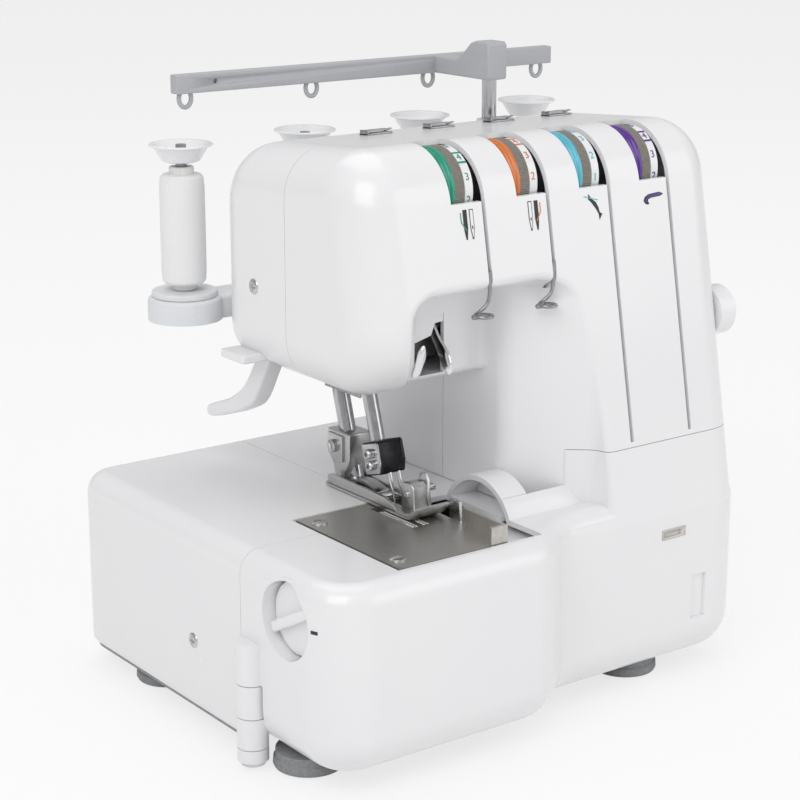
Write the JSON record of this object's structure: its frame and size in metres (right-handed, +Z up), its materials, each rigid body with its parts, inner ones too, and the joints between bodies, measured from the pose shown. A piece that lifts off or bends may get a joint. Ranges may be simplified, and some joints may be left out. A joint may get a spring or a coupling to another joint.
{
  "type": "overlock sewing machine",
  "caption": "Domestic overlock sewing machine with tension dials, hinged looper cover, thread stand, presser foot, needle bar, loopers and knives on working joints.",
  "frame": {"origin": "on the table under the middle of the closed machine's bounding box", "axes": "+X to the operator's right, +Y away from the operator, +Z up"},
  "size_m": [0.28, 0.22, 0.297],
  "materials": {
    "white_gloss": "moulded white shell, glossy",
    "grey_plastic": "light grey moulding",
    "dark_plastic": "dark moulding",
    "rubber_grey": "soft grey feet",
    "cast_frame": "die cast, as cast",
    "steel": "ground steel",
    "chrome": "bright plated",
    "plate_steel": "stamped and polished plate",
    "bronze": "sintered bush",
    "belt_rubber": "moulded belt",
    "thread": "wound white thread",
    "green_dial": "coloured dial",
    "orange_dial": "coloured dial",
    "blue_dial": "coloured dial",
    "purple_dial": "coloured dial"
  },
  "bodies": {
    "machine": {"arm_frame": "cast_frame", "base_pan": "dark_plastic", "bed_arm": "cast_frame", "cover_screws": "steel", "drive_belt": "belt_rubber", "face_plate": "white_gloss", "head_guides": "chrome", "hinge_pin": "steel", "left_bed_cover": "white_gloss", "looper_frame": "cast_frame", "lower_cover": "white_gloss", "lower_knife": "steel", "motor": "cast_frame", "pole_tube": "plate_steel", "power_inlet": "dark_plastic", "rear_cover": "white_gloss", "right_cover": "white_gloss", "rubber_feet": "rubber_grey", "shaft_bushes": "bronze", "spool_caps": "white_gloss", "spool_pads": "grey_plastic", "spool_pins": "chrome", "spool_stand": "grey_plastic", "thread_clips": "chrome", "thread_cutter": "white_gloss", "thread_guides": "chrome", "throat_plate": "plate_steel", "upper_front_cover": "white_gloss"},
    "needle_drive": {"needle_bar": "chrome", "needle_clamp": "steel", "clamp_screws": "steel", "needles": "steel"},
    "presser": {"presser_bar": "chrome", "presser_ankle": "steel", "presser_foot": "steel"},
    "lifter": {"presser_lifter": "grey_plastic"},
    "takeup": {"takeup_lever": "chrome"},
    "upper_looper": {"upper_looper": "steel"},
    "lower_looper": {"lower_looper": "steel"},
    "upper_knife": {"upper_knife": "steel"},
    "feed": {"feed_dog": "steel"},
    "drive_shaft": {"main_shaft": "steel", "hand_wheel": "white_gloss", "drive_pulley": "dark_plastic"},
    "motor_rotor": {"motor_pulley": "dark_plastic"},
    "door": {"front_cover": "white_gloss", "latch_plate": "chrome"},
    "width_knob": {"width_knob": "white_gloss"},
    "pole": {"guide_pole": "chrome", "guide_bar": "grey_plastic"},
    "spool": {"spool_core": "white_gloss", "thread_pack": "thread"},
    "dial_1": {"tension_dial_1": "green_dial"},
    "dial_2": {"tension_dial_2": "orange_dial"},
    "dial_3": {"tension_dial_3": "blue_dial"},
    "dial_4": {"tension_dial_4": "purple_dial"},
    "stitch_dial": {"stitch_length_dial": "white_gloss"},
    "feed_dial": {"differential_dial": "white_gloss"},
    "switch": {"power_switch": "dark_plastic"}
  },
  "joints": [
    {"name": "needle_slide", "type": "slide", "parent": "machine", "child": "needle_drive", "axis": [0, 0.2907, 0.9568], "range_m": [0, 0.027]},
    {"name": "takeup_swing", "type": "hinge", "parent": "machine", "child": "takeup", "pos_m": [-0.0235, -0.024, 0.184], "axis": [-1, 0, 0], "range_deg": [0, 14]},
    {"name": "upper_looper_slide", "type": "slide", "parent": "machine", "child": "upper_looper", "axis": [-0.5, 0, 0.866], "range_m": [0, 0.012]},
    {"name": "lower_looper_swing", "type": "hinge", "parent": "machine", "child": "lower_looper", "pos_m": [-0.016, -0.01, 0.042], "axis": [0, -1, 0], "range_deg": [0, 24]},
    {"name": "upper_knife_slide", "type": "slide", "parent": "machine", "child": "upper_knife", "axis": [0, 0, 1], "range_m": [0, 0.008]},
    {"name": "feed_slide", "type": "slide", "parent": "machine", "child": "feed", "axis": [0, 1, 0], "range_m": [0, 0.0035]},
    {"name": "lifter_swing", "type": "hinge", "parent": "machine", "child": "lifter", "pos_m": [-0.071, 0.024, 0.166], "axis": [1, 0, 0], "range_deg": [0, 30]},
    {"name": "presser_slide", "type": "slide", "parent": "machine", "child": "presser", "axis": [0, 0.2907, 0.9568], "range_m": [0, 0.006]},
    {"name": "main_shaft_spin", "type": "hinge", "parent": "machine", "child": "drive_shaft", "pos_m": [0, 0.012, 0.075], "axis": [1, 0, 0], "continuous": true},
    {"name": "motor_spin", "type": "hinge", "parent": "machine", "child": "motor_rotor", "pos_m": [0.077, 0.074, 0.046], "axis": [1, 0, 0], "continuous": true},
    {"name": "front_cover_swing", "type": "hinge", "parent": "machine", "child": "door", "pos_m": [-0.133, -0.048, 0.03], "axis": [0, 0, -1], "range_deg": [0, 92]},
    {"name": "width_knob_turn", "type": "hinge", "parent": "machine", "child": "width_knob", "pos_m": [-0.125, -0.0744, 0.076], "axis": [-1, 0, 0], "range_deg": [-60, 60]},
    {"name": "pole_slide", "type": "slide", "parent": "machine", "child": "pole", "axis": [0, 0, 1], "range_m": [0, 0.1]},
    {"name": "spool_spin", "type": "hinge", "parent": "machine", "child": "spool", "pos_m": [-0.091, 0.072, 0.215], "axis": [0, 0, 1], "continuous": true},
    {"name": "tension_dial_1_turn", "type": "hinge", "parent": "machine", "child": "dial_1", "pos_m": [-0.0305, -0.04277, 0.2445], "axis": [1, 0, 0], "range_deg": [-150, 150]},
    {"name": "tension_dial_2_turn", "type": "hinge", "parent": "machine", "child": "dial_2", "pos_m": [0.0057, -0.04277, 0.2445], "axis": [1, 0, 0], "range_deg": [-150, 150]},
    {"name": "tension_dial_3_turn", "type": "hinge", "parent": "machine", "child": "dial_3", "pos_m": [0.0419, -0.04277, 0.2445], "axis": [1, 0, 0], "range_deg": [-150, 150]},
    {"name": "tension_dial_4_turn", "type": "hinge", "parent": "machine", "child": "dial_4", "pos_m": [0.0781, -0.04277, 0.2445], "axis": [1, 0, 0], "range_deg": [-150, 150]},
    {"name": "stitch_length_turn", "type": "hinge", "parent": "machine", "child": "stitch_dial", "pos_m": [0.129, -0.04, 0.062], "axis": [1, 0, 0], "range_deg": [-120, 120]},
    {"name": "differential_turn", "type": "hinge", "parent": "machine", "child": "feed_dial", "pos_m": [0.129, -0.04, 0.03], "axis": [1, 0, 0], "range_deg": [-120, 120]},
    {"name": "switch_rock", "type": "hinge", "parent": "machine", "child": "switch", "pos_m": [0.12275, 0.06, 0.04], "axis": [0, 1, 0], "range_deg": [-7, 7]}
  ],
  "couplings": [
    {"joint": "takeup_swing", "follows": "needle_slide", "rad_per_m": 8.7266},
    {"joint": "upper_looper_slide", "follows": "needle_slide", "ratio": 0.42593},
    {"joint": "lower_looper_swing", "follows": "needle_slide", "rad_per_m": 15.191},
    {"joint": "upper_knife_slide", "follows": "needle_slide", "ratio": 0.28889},
    {"joint": "feed_slide", "follows": "needle_slide", "ratio": 0.12593},
    {"joint": "lifter_swing", "follows": "presser_slide", "rad_per_m": 87},
    {"joint": "motor_spin", "follows": "main_shaft_spin", "ratio": 2.9}
  ]
}
